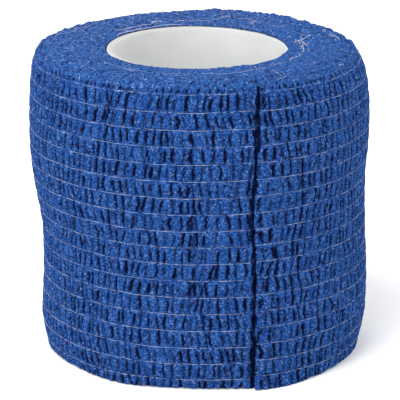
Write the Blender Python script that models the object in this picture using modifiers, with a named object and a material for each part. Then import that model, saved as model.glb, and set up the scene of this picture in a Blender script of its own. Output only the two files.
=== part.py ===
"""Cohesive bandage roll: crinkled elastic cloth wound on a white plastic core tube, standing on its end.

Metres, +Z up. The origin is at the middle of the base, and -Y is the front. An azimuth is measured from
the front towards +X. The cloth winds as a spiral: its free end lies on the front, a little to the right,
and the last turn of it is a strip of its own, cut off just under the place where that end laps over it.
"""

import math

import bmesh
import bpy
import numpy as np
from mathutils import Matrix, Vector

MM = 0.001

# The cloth
CLOTH_WIDTH = 50.0 * MM
CLOTH_LAYER = 1.0 * MM  # one turn of crinkled cloth
LAYER_GAP = 0.3 * MM
TURN_PITCH = CLOTH_LAYER + LAYER_GAP
SEAM_AZIMUTH = math.radians(20.0)  # where the free end is cut off
TUCK = 12.0 / 360.0  # how far the last turn runs on under its own end, in turns
TUCK_CLEARANCE = 1.0 / 360.0

# The core tube. It leans a little in the roll, with its top end towards one side.
CORE_OUTER_RADIUS = 15.0 * MM
CORE_WALL = 1.0 * MM
CORE_LENGTH = 48.95 * MM
CORE_TOP_HEIGHT = 49.4 * MM  # of the middle of its top end
CORE_LEAN = math.radians(1.34)
CORE_LEAN_AZIMUTH = math.radians(30.0)
CORE_LIP_ROUNDING = 0.3 * MM

# Elastic threads run round the roll and draw the cloth in, so that it crowns between them.
ELASTIC_ROWS = 18
TOP_ELASTIC_HEIGHT = 48.05 * MM
ELASTIC_PITCH = 2.71 * MM
BAND_CROWN = 0.25 * MM
# The winding climbs a little towards the free end, more at the base than at the top.
CLIMB_AT_TOP = 0.12 * MM
CLIMB_AT_BASE = 0.7 * MM

# The last turn hangs clear of the surface, but for the corner of its free end.
HEM_HEIGHT = 0.35 * MM
HEM_CORNER = 0.12  # in turns, how far back from the free end the hem comes down
HEM_ROUNDING = {"inward": 0.35 * MM, "rise": 0.5 * MM}

# The roll's uneven side: its radius from the axis at each height, on its left and on its right.
SIDE_PROFILE = [
    {"height": 0.0, "left": 25.2, "right": 25.2},
    {"height": 1.5, "left": 25.5, "right": 25.6},
    {"height": 3.0, "left": 25.8, "right": 26.0},
    {"height": 6.0, "left": 26.1, "right": 26.6},
    {"height": 12.0, "left": 25.75, "right": 26.8},
    {"height": 20.0, "left": 25.8, "right": 26.5},
    {"height": 24.0, "left": 26.4, "right": 26.4},
    {"height": 27.0, "left": 27.1, "right": 26.4},
    {"height": 31.0, "left": 27.6, "right": 26.5},
    {"height": 34.0, "left": 27.8, "right": 26.8},
    {"height": 38.0, "left": 27.85, "right": 26.95},
    {"height": 41.0, "left": 27.75, "right": 26.9},
    {"height": 46.0, "left": 27.45, "right": 26.3},
    {"height": 50.0, "left": 26.7, "right": 24.65},
]

# Where the foot flares out or pulls in at the floor: its azimuth, how wide it is, and its reach.
FOOT_FLARE = [
    {"azimuth": -60.0, "spread": 12.0, "reach": -0.5},
    {"azimuth": -30.0, "spread": 10.0, "reach": 0.8},
    {"azimuth": 24.0, "spread": 13.5, "reach": 1.5},
]
FOOT_FLARE_HEIGHT = 1.6 * MM

# The last turn's top edge rolls over inwards from its face.
SHEET_TOP = [
    {"inward": 0.2, "height": 48.8},
    {"inward": 0.5, "height": 49.3},
    {"inward": 1.0, "height": 49.5},
]

# The wound body's top end is a low crown: share is 1 at its outer edge and 0 at the bore. Towards the bore
# it dips, most at the front.
BODY_EDGE_HEIGHT = 49.2 * MM
BODY_TOP = [
    {"share": 0.95, "height": 49.75, "dip": 0.0},
    {"share": 0.80, "height": 50.0, "dip": 0.0},
    {"share": 0.50, "height": 49.95, "dip": 0.0},
    {"share": 0.15, "height": 49.95, "dip": 0.75},
    {"share": 0.0, "height": 49.95, "dip": 1.0},
]
BORE_DIP = {"azimuth": math.radians(-15.0), "least": 0.05 * MM, "most": 0.52 * MM}
FOOT_ROUNDING = 0.4 * MM

# The bore round the core tube leans as the tube does.
BORE_RADIUS = CORE_OUTER_RADIUS + LAYER_GAP

SHEET_STEPS = 62
BODY_STEPS = 60
CORE_STEPS = 64
WELD = 0.001 * MM
SHARP_EDGE = math.radians(50.0)

CLOTH_BLUE = (0.045, 0.130, 0.500, 1.0)
CORE_WHITE = (0.800, 0.800, 0.770, 1.0)


def clear_scene():
    for old in list(bpy.data.objects):
        bpy.data.objects.remove(old, do_unlink=True)


def make_material(name, colour, roughness):
    material = bpy.data.materials.new(name)
    material.use_nodes = True
    shader = material.node_tree.nodes["Principled BSDF"]
    shader.inputs["Base Color"].default_value = colour
    shader.inputs["Roughness"].default_value = roughness
    shader.inputs["Metallic"].default_value = 0.0
    return material


def azimuth_of(turn):
    """A turn is counted from the cut end, back along the cloth."""
    return SEAM_AZIMUTH + 2.0 * math.pi * turn


def across(turn, left, right):
    """A value that runs from left, on the roll's left side, to right, on its right."""
    return left + (right - left) * (0.5 + 0.5 * math.sin(azimuth_of(turn)))


def side_radius(turn, height):
    """The roll's uneven radius, before the spiral is added."""
    heights = [row["height"] * MM for row in SIDE_PROFILE]
    left = np.interp(height, heights, [row["left"] * MM for row in SIDE_PROFILE])
    right = np.interp(height, heights, [row["right"] * MM for row in SIDE_PROFILE])
    return across(turn, left, right)


def foot_flare(turn, height):
    """How far the cloth stands out, or in, close to the floor."""
    total = 0.0
    for bump in FOOT_FLARE:
        off = (math.degrees(azimuth_of(turn)) - bump["azimuth"] + 180.0) % 360.0 - 180.0
        total += bump["reach"] * MM * math.exp(-0.5 * (off / bump["spread"]) ** 2)
    return total * math.exp(-height / FOOT_FLARE_HEIGHT)


def outer_radius(turn, height):
    """The cloth's outer face. It is a layer further out at the cut end than one turn back."""
    return side_radius(turn, height) + foot_flare(turn, height) + TURN_PITCH * (0.5 - turn)


def elastic_height(turn, row):
    height = TOP_ELASTIC_HEIGHT - row * ELASTIC_PITCH
    climb = CLIMB_AT_BASE + (CLIMB_AT_TOP - CLIMB_AT_BASE) * height / CLOTH_WIDTH
    return height + climb * (0.5 - turn)


def ease(share):
    share = min(max(share, 0.0), 1.0)
    return share * share * (3.0 - 2.0 * share)


def hem_height(turn):
    return HEM_HEIGHT * ease(turn / HEM_CORNER)


def sheet_section(turn):
    """The last turn cut across: (radius, height) from its hem up its face, over its top and down its back."""
    hem = hem_height(turn)
    points = [(HEM_ROUNDING["inward"], hem), (0.0, hem + HEM_ROUNDING["rise"])]
    for row in reversed(range(ELASTIC_ROWS)):
        height = elastic_height(turn, row)
        points.append((BAND_CROWN, height))
        if row > 0:
            points.append((0.0, height + ELASTIC_PITCH / 2.0))
    points += [(row["inward"] * MM, row["height"] * MM) for row in SHEET_TOP]
    points += [(CLOTH_LAYER, row["height"] * MM) for row in reversed(SIDE_PROFILE[1:-1])]
    points.append((CLOTH_LAYER, hem))
    return [(outer_radius(turn, height) - inward, height) for inward, height in points]


def bore_radius(turn, height):
    """The leaning bore, measured from the roll's axis."""
    below = CORE_TOP_HEIGHT - height
    return BORE_RADIUS - below * math.tan(CORE_LEAN) * math.cos(azimuth_of(turn) - CORE_LEAN_AZIMUTH)


def bore_dip(turn):
    front = ease(0.5 + 0.5 * math.cos(azimuth_of(turn) - BORE_DIP["azimuth"]))
    return BORE_DIP["least"] + (BORE_DIP["most"] - BORE_DIP["least"]) * front


def body_section(turn):
    """The wound body cut across: (radius, height) up its side, over its top end and down its bore."""
    heights = [FOOT_ROUNDING]
    heights += [row["height"] * MM for row in SIDE_PROFILE[1:-1]]
    heights.append(BODY_EDGE_HEIGHT)
    side = [(outer_radius(turn, height) - TURN_PITCH, height) for height in heights]
    foot = side[0][0] - FOOT_ROUNDING
    edge = side[-1][0]
    lip = bore_radius(turn, BODY_TOP[-1]["height"] * MM)
    top = []
    for row in BODY_TOP:
        height = row["height"] * MM - row["dip"] * bore_dip(turn)
        top.append((lip + (edge - lip) * row["share"], height))
    return [(foot, 0.0)] + side + top + [(bore_radius(turn, 0.0), 0.0)]


def wrapped_strip(name, steps, section_at, turn_at, material):
    """A grid rolled into a closed form: along its length it follows the winding, across it the section."""
    corners = len(section_at(turn_at(0.0)))
    sections = [section_at(turn_at(step / steps)) for step in range(steps + 1)]
    bm = bmesh.new()
    bmesh.ops.create_grid(bm, x_segments=steps, y_segments=corners, size=1.0)
    for vert in bm.verts:
        step = round((vert.co.x + 1.0) * 0.5 * steps)
        corner = round((vert.co.y + 1.0) * 0.5 * corners) % corners
        azimuth = azimuth_of(turn_at(step / steps))
        radius, height = sections[step][corner]
        vert.co = (radius * math.sin(azimuth), -radius * math.cos(azimuth), height)
    bmesh.ops.remove_doubles(bm, verts=bm.verts, dist=WELD)
    bmesh.ops.holes_fill(bm, edges=bm.edges, sides=0)
    bmesh.ops.recalc_face_normals(bm, faces=bm.faces)
    return finish_mesh(name, bm, material)


def finish_mesh(name, bm, material):
    mesh = bpy.data.meshes.new(name)
    bm.to_mesh(mesh)
    bm.free()
    mesh.materials.append(material)
    mesh.shade_smooth()
    mesh.set_sharp_from_angle(angle=SHARP_EDGE)
    return bpy.data.objects.new(name, mesh)


def make_bandage_roll(material):
    """Every turn but the last. Its outer face steps out just past the tucked end of the last turn."""
    start = TUCK + TUCK_CLEARANCE

    def turn_at(share):
        return start + (share if share > 0.0 else 1.0)

    return wrapped_strip("bandage_roll", BODY_STEPS, body_section, turn_at, material)


def make_loose_end(material):
    """The last turn, from the cut end right round and on under itself."""

    def turn_at(share):
        return share * (1.0 + TUCK)

    return wrapped_strip("loose_end", SHEET_STEPS, sheet_section, turn_at, material)


def make_core_tube(material):
    """A turned tube with a rounded lip, drawn as its wall, spun round its axis and leant over."""
    inner = CORE_OUTER_RADIUS - CORE_WALL
    rounding = CORE_LIP_ROUNDING
    chord = rounding * (1.0 - math.sqrt(0.5))
    outline = [
        (CORE_OUTER_RADIUS - rounding, CORE_LENGTH),
        (CORE_OUTER_RADIUS - chord, CORE_LENGTH - chord),
        (CORE_OUTER_RADIUS, CORE_LENGTH - rounding),
        (CORE_OUTER_RADIUS, 0.0),
        (inner, 0.0),
        (inner, CORE_LENGTH - rounding),
        (inner + chord, CORE_LENGTH - chord),
        (inner + rounding, CORE_LENGTH),
    ]
    bm = bmesh.new()
    points = [bm.verts.new((radius, 0.0, height)) for radius, height in outline]
    for index, point in enumerate(points):
        bm.edges.new((point, points[(index + 1) % len(points)]))
    tube = finish_mesh("core_tube", bm, material)
    screw = tube.modifiers.new("Turn", "SCREW")
    screw.axis = "Z"
    screw.angle = 2.0 * math.pi
    screw.steps = CORE_STEPS
    screw.render_steps = CORE_STEPS
    screw.use_merge_vertices = True
    screw.merge_threshold = WELD
    screw.use_smooth_shade = True
    hinge = Vector((math.cos(CORE_LEAN_AZIMUTH), math.sin(CORE_LEAN_AZIMUTH), 0.0))
    lean = Matrix.Rotation(CORE_LEAN, 4, hinge)
    top = Vector((0.0, 0.0, CORE_TOP_HEIGHT))
    tube.matrix_world = Matrix.Translation(top - lean @ Vector((0.0, 0.0, CORE_LENGTH))) @ lean
    return tube


def main():
    clear_scene()
    parts = bpy.data.collections.new("cohesive_bandage_roll")
    bpy.context.scene.collection.children.link(parts)
    cloth = make_material("crinkled_blue_cloth", CLOTH_BLUE, 0.9)
    plastic = make_material("white_core_plastic", CORE_WHITE, 0.45)
    for part in (make_bandage_roll(cloth), make_loose_end(cloth), make_core_tube(plastic)):
        parts.objects.link(part)


main()
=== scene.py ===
"""Cohesive bandage roll: crinkled blue elastic cloth wound on a white core tube, standing on its end.

The frame is in metres, +Z up, with its origin at the middle of the base and -Y as the front. An azimuth is
measured from the front towards +X. A turn is counted from the cut end, back along the cloth. The surface of
the cloth is worked out in millimetres, and its meshes are in metres.
"""

import math

import bmesh
import bpy
import numpy as np
from mathutils import Matrix, Vector
from mathutils.kdtree import KDTree


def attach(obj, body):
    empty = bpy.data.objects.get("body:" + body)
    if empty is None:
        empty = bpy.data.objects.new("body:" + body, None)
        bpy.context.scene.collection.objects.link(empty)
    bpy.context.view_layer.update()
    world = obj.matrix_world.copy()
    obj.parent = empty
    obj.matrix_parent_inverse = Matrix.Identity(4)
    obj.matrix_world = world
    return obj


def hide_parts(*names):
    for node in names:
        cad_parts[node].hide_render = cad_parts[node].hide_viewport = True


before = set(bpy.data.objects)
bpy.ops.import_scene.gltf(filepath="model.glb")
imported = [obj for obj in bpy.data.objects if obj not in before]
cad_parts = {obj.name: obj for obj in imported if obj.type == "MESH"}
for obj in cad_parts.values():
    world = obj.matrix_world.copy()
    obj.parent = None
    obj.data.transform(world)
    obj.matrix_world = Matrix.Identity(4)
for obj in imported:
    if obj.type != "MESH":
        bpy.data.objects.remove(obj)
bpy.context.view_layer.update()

bl_info = {
    "name": "Cohesive bandage roll",
    "version": (1, 0, 0),
    "blender": (4, 5, 0),
    "location": "View3D > Sidebar > Bandage roll",
    "description": "Crinkled elastic bandage cloth wound on a plastic core tube",
    "category": "Add Mesh",
}

MM = 0.001
CLOTH_WIDTH = 50.0
MEAN_RADIUS = 26.3

# The roll's uneven side: its radius from the axis at each height, on its left and on its right.
SIDE_PROFILE = {
    "height": (0.0, 3.0, 6.0, 12.0, 20.0, 24.0, 27.0, 31.0, 34.0, 38.0, 41.0, 46.0, 50.0),
    "left": (25.2, 25.8, 26.1, 25.75, 25.8, 26.4, 27.1, 27.6, 27.8, 27.85, 27.75, 27.45, 26.7),
    "right": (25.2, 26.0, 26.6, 26.8, 26.5, 26.4, 26.4, 26.5, 26.8, 26.95, 26.9, 26.3, 24.65),
}
PROFILE_STEP = 0.25
PROFILE_SMOOTHING = 7  # in profile steps

# The top end: how high the turns' edges stand at each distance in from the roll's outer face, and how the
# last turn's own edge rolls over.
TOP_CROWN = {
    "inward": (1.0, 1.6, 2.4, 3.4, 6.5, 12.5),
    "height": (49.55, 49.75, 49.92, 50.0, 49.95, 49.95),
}
ROLLED_EDGE = {"inward": 1.08, "start": 48.1, "rise": 1.45}

# Soft bumps round the roll, each as (azimuth in degrees, spread in degrees, reach in mm). They lift the top
# edge, flare the foot out at the floor, and part the cloth's lip from the tube's rim.
TOP_LIFT = ((163.0, 21.0, 0.55), (-100.0, 21.0, -0.20))
FOOT_FLARE = ((-60.0, 12.0, -0.5), (-30.0, 10.0, 0.8), (24.0, 13.5, 1.5))
FOOT_FLARE_HEIGHT = 1.6
LIP_GAP = ((-146.0, 12.0, 0.24), (168.0, 26.0, -0.36))

# The core tube leans a little, its top end towards an azimuth. The cloth dips and laps over its rim.
CORE_LEAN = {"angle": 1.34, "azimuth": 30.0, "top": 49.3, "length": 48.85}
CORE_LIP_ROUNDING = 0.28
# Painted shade on the core's wall: a share 'least' near its top, growing from 'from' mm down over 'run' mm,
# and fading away towards the 'bright_side' azimuth.
CORE_SHADE = {"least": 0.28, "from": 2.0, "run": 6.5, "bright_side": -80.0}
BORE_GAP = 0.3
BORE_DIP = {"azimuth": -15.0, "least": 0.26, "most": 0.60, "inward": 6.5, "run": 5.0}
LIP_OVERHANG = {"azimuth": 62.0, "least": 0.16, "most": 1.20}
LIP_CLEARANCE = 0.02
LIP_THICKNESS = 0.18

# The crumbly edges of the turns on the two ends: the sizes of their grains, of one turn and of slow swells,
# how high the swells stand, and how dark the painted shade in the pits is.
CRUMBS = {"coarse": 0.62, "fine": 0.34, "turn": 0.65, "slow": 5.0, "swell": 0.10, "pit": 0.55}

# The line of the cut end: how far along the cloth it lies from its mean place, at each height.
SEAM_EDGE = {
    "height": (
        0.0, 5.0, 12.0, 16.5, 18.5, 21.5, 25.0, 28.5,
        33.0, 36.0, 39.0, 40.5, 45.0, 47.5, 50.0,
    ),
    "along": (
        -0.60, -0.55, -0.50, -0.36, -0.30, -0.42, -0.78, -0.90,
        -0.94, -0.62, -0.38, -0.05, -0.05, 0.12, 0.50,
    ),
}

# The cut end thins out over a narrow hollow. The cloth under it swells up to it, and hangs slack beside it
# in a pocket darkened by painted shade, by a share for each band from the top one down.
END_THINNING = {"run": 1.6, "raise": 0.42, "hollow": 0.22}
UNDER_SWELL = {"run": 3.5, "reach": 0.24}
SEAM_SLACK = (
    0.20, 0.50, 0.92, 0.92, 0.65, 0.15, 0.35, 0.55, 0.50, 0.60,
    0.20, 0.50, 0.70, 0.20, 0.35, 0.40, 0.65, 0.55, 0.30, 0.30,
)

# Where the elastic threads lie, and how the winding climbs a little towards its cut end.
THREAD_ROWS = 18
BANDS = THREAD_ROWS + 1
TOP_THREAD_HEIGHT = 48.05
THREAD_PITCH = 2.71
CLIMB_AT_TOP = 0.12
CLIMB_AT_BASE = 0.7
THREAD_POINTS = 470
THREAD_START = (0.0, 0.20)
THREAD_END = (0.20, 0.60)
THREAD_SWAY = 0.05
LAST_THREAD_HOOK = {"run": 1.1, "rise": 0.8, "out": 0.35}

# The hem at the floor, rounded as (inward, rise), and the last turn's run under its own cut end.
HEM_HEIGHT = 0.08
HEM_CORNER = 0.12
HEM_ROUNDING = ((0.75, 0.03), (0.45, 0.0), (0.20, 0.06), (0.05, 0.22))
HEM_TOP = 0.42
TUCK = 12.0 / 360.0
TUCK_CLEARANCE = 1.0 / 360.0
SPLIT_TURN = 0.5

# The vertical creases of the cloth stand in even rows that wander from one band to the next. Head and foot
# are where a crease starts and ends, as shares of its band's height. Nicks are short dents between creases.
CREASE_DRIFT = {"run": 4.5, "reach": 0.52, "memory": 0.76}
CREASE_SLANT = {"run": 4.5, "reach": 0.34}
CREASE_JITTER = 0.105
CREASE_STRENGTH = {"least": 0.50, "more": 0.46}
CREASE_WIDTH = (0.20, 0.34)
CREASE_DEPTH = (0.12, 0.46)
CREASE_BOW = 0.15
CREASE_HEAD = (-0.35, 0.14)
CREASE_FOOT = (0.98, 1.45)
CREASE_TAPER = 0.16
CREASE_WOBBLE = 0.18
CREASE_SHIFT = 0.05
NICKS_PER_BAND = 170
NICKS = {"middle": (0.08, 0.95), "half": (0.06, 0.28), "depth": (0.05, 0.22), "width": (0.14, 0.28)}
FADE_ABOVE_TOP_THREAD = 1.0
FACE_SWELL = 0.05

# Where a band's creases are deepest and how far they reach from there, as shares of its height.
BAND_ARCH = (0.5, 0.5)
TOP_BAND_ARCH = (0.86, 0.36)
BASE_BAND_ARCH = (0.50, 0.56)

# Single blue fibres that stand out of the cloth: where they start, which share of them on the rolled edge
# and on the top end, how long and thick they are, and how they spread.
FUZZ = {
    "edge_heights": (47.8, 49.4),
    "face_heights": (0.6, 48.0),
    "top_radii": (15.2, 25.6),
    "on_edge": 0.45,
    "on_top": 0.28,
    "length": (0.20, 0.60),
    "radius": 0.022,
    "taper": (1.0, 0.8, 0.45),
    "spread": 0.75,
    "bend": 0.5,
}

# How finely the pieces are meshed: columns round the roll, rows of points between two threads, and the
# heights of the rings on plain stretches. The core's rings are counted down from its top.
COLUMNS_PER_SHEET = 600
BODY_COLUMNS = 960
CORE_COLUMNS = 160
ROWS_PER_BAND = 7
ROWS_BELOW_THREADS = 5
SHEET_BACK_RINGS = (49.0, 36.0, 24.0, 12.0)
BODY_SIDE_RINGS = (0.35, 8.0, 18.0, 28.0, 38.0, 47.0)
BORE_RINGS = (40.0, 25.0, 10.0, 0.3)
CORE_RINGS = (0.9, 2.5, 4.5, 6.5, 8.5)
TOP_RINGS = 54
FOOT_RINGS = 18
NOISE_TABLE = (1024, 512)

# Tints that go with the colours that a user may change.
# The sunk tint is painted shade, laid on the threads where they dip in a crease.
THREAD_TINTS = {"dull": (0.34, 0.38, 0.56, 1.0), "sunk": (0.03, 0.05, 0.16, 1.0)}
LOOSE_TINTS = {
    "dull": (0.45, 0.48, 0.66, 1.0),
    "lit": (0.74, 0.75, 0.86, 1.0),
    "faint": (0.10, 0.16, 0.42, 1.0),
}
FLOOR_TINTS = ((0.93, 0.93, 0.93, 1.0), (0.95, 0.95, 0.95, 1.0))
WHITE = (1.0, 1.0, 1.0, 1.0)

# The floor is a softly lit table, so that the shadow on it stays pale. The lamps are soft squares that aim
# at the middle of the roll.
FLOOR_GLOW = 0.20
KEY_LIGHT = {"place": (-0.40, -0.60, 1.10), "size": 0.70}
SIDE_LIGHT = {"place": (0.90, 0.75, 0.42), "size": 0.60}
EDGE_LIGHT = {"place": (-0.60, 1.00, 0.40), "size": 0.60}
LIGHT_TARGET = (0.0, 0.0, 0.025)

# Loose pale ends of elastic on the top end. Each row holds how far one stands off the cloth in mm, how thick
# and how faint it is as shares, and the points on its path as (azimuth in degrees, radius in mm).
STRAY_FIBRES = (
    (0.06, 0.8, 0.25, (-49.1, 19.7), (-45.4, 19.6), (-40.3, 19.8), (-37.0, 19.7)),
    (0.10, 1.0, 0.10, (-34.7, 20.9), (-32.5, 21.1), (-30.0, 21.1), (-30.3, 20.0)),
    (0.05, 0.7, 0.55, (-29.8, 20.3), (-26.2, 20.4), (-22.6, 20.6)),
    (0.05, 0.7, 0.50, (-17.4, 20.7), (-13.1, 20.9), (-8.7, 20.5), (-4.3, 20.5)),
    (0.06, 0.8, 0.35, (2.2, 20.5), (6.9, 20.7), (11.2, 20.7), (14.6, 20.7)),
    (0.08, 0.9, 0.15, (16.6, 20.6), (20.5, 20.4), (22.5, 19.7), (25.5, 19.7)),
    (0.08, 0.8, 0.35, (25.5, 19.7), (28.8, 19.5), (32.6, 19.1), (36.8, 18.7)),
    (0.08, 0.8, 0.25, (37.5, 18.7), (41.8, 18.6), (44.7, 18.3), (48.7, 18.1)),
    (0.20, 0.9, 0.10, (29.4, 17.1), (27.9, 18.4), (26.6, 19.7)),
    (0.15, 0.8, 0.20, (36.3, 19.3), (39.3, 18.4), (41.3, 17.9)),
    (0.14, 0.9, 0.05, (31.2, 21.6), (30.9, 22.7), (31.0, 23.7), (30.8, 24.8)),
    (0.14, 0.9, 0.10, (27.8, 25.5), (29.3, 25.2), (30.8, 25.0), (32.6, 24.6)),
    (0.10, 0.8, 0.30, (23.9, 24.5), (24.5, 24.7)),
    (0.12, 1.9, 0.05, (-120.0, 15.45), (-127.0, 15.45), (-133.0, 15.5), (-139.0, 15.45), (-146.0, 15.45)),
    (0.10, 1.3, 0.10, (-145.0, 15.4), (-152.0, 15.4), (-161.0, 15.2), (-168.0, 15.0)),
    (0.10, 1.9, 0.30, (-126.9, 17.2), (-132.3, 17.1), (-137.4, 17.0), (-141.7, 17.0), (-146.0, 17.1),
     (-151.3, 17.2), (-156.4, 17.7)),
    (0.08, 1.2, 0.45, (-135.7, 17.4), (-140.7, 17.1), (-144.7, 16.8)),
    (0.14, 2.0, 0.10, (-153.0, 17.5), (-157.0, 18.2), (-159.4, 17.4), (-161.3, 17.3)),
    (0.10, 1.6, 0.25, (-164.8, 17.0), (-167.8, 17.3), (-171.1, 17.1)),
    (0.08, 1.3, 0.45, (-173.2, 16.7), (-176.7, 17.0), (-180.0, 17.1), (-183.9, 16.9), (-187.7, 17.2)),
    (0.10, 1.5, 0.30, (172.4, 17.5), (169.1, 18.4), (166.5, 19.2), (164.3, 18.8)),
    (0.08, 1.1, 0.45, (160.2, 18.6), (156.6, 19.2), (153.4, 19.3)),
    (0.10, 1.6, 0.35, (-160.0, 24.4), (-163.4, 24.6), (-166.6, 24.7), (-169.5, 24.0)),
    (0.08, 1.2, 0.45, (-161.5, 23.2), (-164.7, 23.5), (-167.5, 23.1)),
    (0.08, 1.2, 0.50, (181.6, 23.6), (178.0, 23.4), (174.8, 23.8)),
    (0.06, 0.8, 0.35, (-107.6, 24.7), (-109.6, 24.1), (-110.7, 23.0), (-114.3, 22.6), (-121.2, 22.8),
     (-128.4, 22.9), (-133.9, 23.2), (-138.4, 24.2)),
    (0.06, 0.7, 0.40, (-113.3, 22.4), (-120.5, 23.4), (-123.3, 23.8)),
    (0.06, 0.7, 0.45, (-119.8, 24.7), (-115.7, 23.5)),
    (0.06, 0.8, 0.40, (-104.5, 16.8), (-108.4, 17.0)),
    (0.06, 0.8, 0.40, (-105.9, 18.5), (-104.0, 18.0)),
    (0.10, 0.8, 0.25, (-73.9, 18.0), (-71.6, 18.0), (-74.0, 17.6)),
    (0.30, 1.7, 0.00, (92.7, 15.2), (95.3, 15.5), (97.0, 15.9), (98.7, 16.6), (100.8, 17.1), (103.7, 17.8),
     (105.6, 18.6)),
    (0.26, 1.5, 0.05, (96.3, 15.6), (97.7, 16.0), (92.1, 16.0), (88.5, 16.0)),
    (0.18, 1.0, 0.35, (111.4, 18.3), (111.5, 17.8), (107.5, 17.1), (102.8, 16.8), (97.4, 16.6)),
    (0.24, 1.3, 0.05, (94.1, 16.2), (93.7, 16.6), (92.2, 16.8), (88.1, 16.8), (85.9, 16.5), (84.1, 16.3),
     (78.8, 16.5), (76.6, 16.9), (73.3, 17.3), (71.4, 17.3), (71.8, 17.0)),
    (0.30, 1.5, 0.00, (96.9, 16.6), (91.5, 16.6), (85.6, 16.5), (80.8, 16.7), (75.8, 17.1)),
    (0.22, 1.2, 0.15, (87.2, 16.8), (85.8, 17.1), (82.1, 17.4)),
    (0.20, 1.1, 0.25, (87.7, 16.9), (89.1, 17.2), (90.3, 17.5)),
    (0.14, 0.9, 0.35, (80.6, 17.5), (77.3, 17.8), (74.3, 18.1), (72.1, 18.1), (74.0, 17.8), (77.2, 17.7)),
    (0.12, 0.8, 0.45, (71.8, 17.4), (69.0, 17.5), (65.7, 17.6), (62.6, 17.8)),
    (0.16, 1.2, 0.15, (69.0, 16.8), (64.4, 17.4), (60.0, 18.2)),
    (0.16, 1.6, 0.05, (59.4, 17.9), (58.5, 17.7), (57.0, 17.6), (54.2, 17.8), (51.5, 18.0)),
    (0.14, 1.6, 0.05, (107.1, 21.9), (104.8, 22.2), (102.1, 22.5), (100.7, 22.6), (97.6, 22.6),
     (96.3, 22.7)),
    (0.12, 1.1, 0.30, (111.2, 22.7), (109.6, 22.7), (108.9, 23.1), (107.4, 23.0)),
    (0.12, 1.0, 0.30, (99.2, 22.3), (96.7, 21.9), (94.8, 22.0)),
    (0.08, 0.9, 0.45, (85.7, 19.8), (81.5, 20.0), (78.2, 19.9)),
    (0.10, 1.1, 0.35, (79.4, 22.7), (80.5, 23.0), (80.0, 23.3)),
    (0.10, 1.3, 0.15, (113.8, 21.9), (116.8, 22.6), (116.4, 22.9), (112.7, 22.1), (112.7, 21.7)),
    (0.10, 1.2, 0.25, (59.4, 25.2), (60.8, 25.3), (60.7, 25.8)),
    (0.12, 0.8, 0.20, (150.8, 16.6), (150.6, 17.8), (151.7, 20.7)),
    (0.14, 0.9, 0.10, (154.6, 19.3), (150.8, 18.3), (144.3, 17.5)),
    (0.14, 0.8, 0.15, (150.4, 17.9), (147.8, 16.2)),
    (0.08, 0.8, 0.35, (138.5, 17.9), (133.4, 17.2), (131.2, 17.9), (133.2, 19.4)),
    (0.25, 0.7, 0.20, (83.0, 25.9), (76.3, 26.6), (69.6, 27.0)),
    (0.08, 0.8, 0.35, (-163.6, 23.8), (-168.2, 24.7), (-172.2, 24.7)),
)


# ---------------------------------------------------------------- what a user may change


def length(name, description, metres):
    return bpy.props.FloatProperty(name=name, description=description, default=metres, unit="LENGTH")


def angle(name, description, degrees):
    return bpy.props.FloatProperty(
        name=name, description=description, default=math.radians(degrees), subtype="ANGLE"
    )


def amount(name, description, number):
    return bpy.props.FloatProperty(name=name, description=description, default=number)


def count(name, description, number):
    return bpy.props.IntProperty(name=name, description=description, default=number)


def colour(name, description, red, green, blue):
    return bpy.props.FloatVectorProperty(
        name=name, description=description, default=(red, green, blue, 1.0), size=4, subtype="COLOR"
    )


class BandageSizes(bpy.types.PropertyGroup):
    turn_pitch: length("Turn pitch", "How much further out each turn lies than the one under it", 1.3 * MM)
    cloth_thickness: length("Cloth thickness", "Thickness of one turn of crinkled cloth", 1.0 * MM)
    seam_azimuth: angle("Cut end", "Where the cut end lies, measured from the front", 20.0)
    creases_per_turn: count("Creases in a turn", "How many vertical creases one turn of the cloth has", 126)
    band_crown: length("Band crown", "How far the cloth bulges between two elastic threads", 0.20 * MM)
    crumb_height: length("Crumb height", "How uneven the turns' edges are on the roll's ends", 0.20 * MM)
    thread_radius: length("Thread radius", "Radius of one elastic thread", 0.034 * MM)
    core_radius: length("Core radius", "Outer radius of the core tube", 15.0 * MM)
    core_wall: length("Core wall", "Wall thickness of the core tube", 1.0 * MM)
    fuzz_count: count("Fuzz", "How many loose blue fibres stand out of the cloth", 2600)


class BandageColours(bpy.types.PropertyGroup):
    cloth: colour("Cloth", "The blue of the cloth's raised parts", 0.0095, 0.0650, 0.297)
    cloth_light: colour("Cloth, light flecks", "The palest fibres in the cloth", 0.056, 0.167, 0.478)
    cloth_dark: colour("Cloth, dark flecks", "The darkest fibres in the cloth", 0.0065, 0.032, 0.155)
    cloth_violet: colour("Cloth, violet fibres", "Fibres that lean towards violet", 0.033, 0.066, 0.315)
    cloth_teal: colour("Cloth, green blue fibres", "Fibres that lean to a green blue", 0.012, 0.100, 0.330)
    cloth_haze: colour("Cloth, loose grey fibres", "The haze on the roll's ends", 0.190, 0.185, 0.300)
    fleck: colour("Pale fleck", "Single pale fibres that catch the light", 0.285, 0.390, 0.670)
    # The pit colour is painted shade in the small holes between the fibres, with a mauve tint.
    pit: colour("Pit", "The small holes between the fibres", 0.038, 0.014, 0.062)
    # The crease colour is painted shade, laid near black in creases, the seam's pocket and hidden faces.
    crease: colour("Crease", "The cloth at the bottom of a crease", 0.002, 0.005, 0.032)
    thread: colour("Elastic thread", "The pale elastic threads", 0.560, 0.610, 0.740)
    plastic: colour("Core tube", "The plastic of the core tube", 0.865, 0.875, 0.873)
    rim: colour("Core tube's rim", "The cut rim of the core tube", 0.530, 0.527, 0.505)


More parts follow.
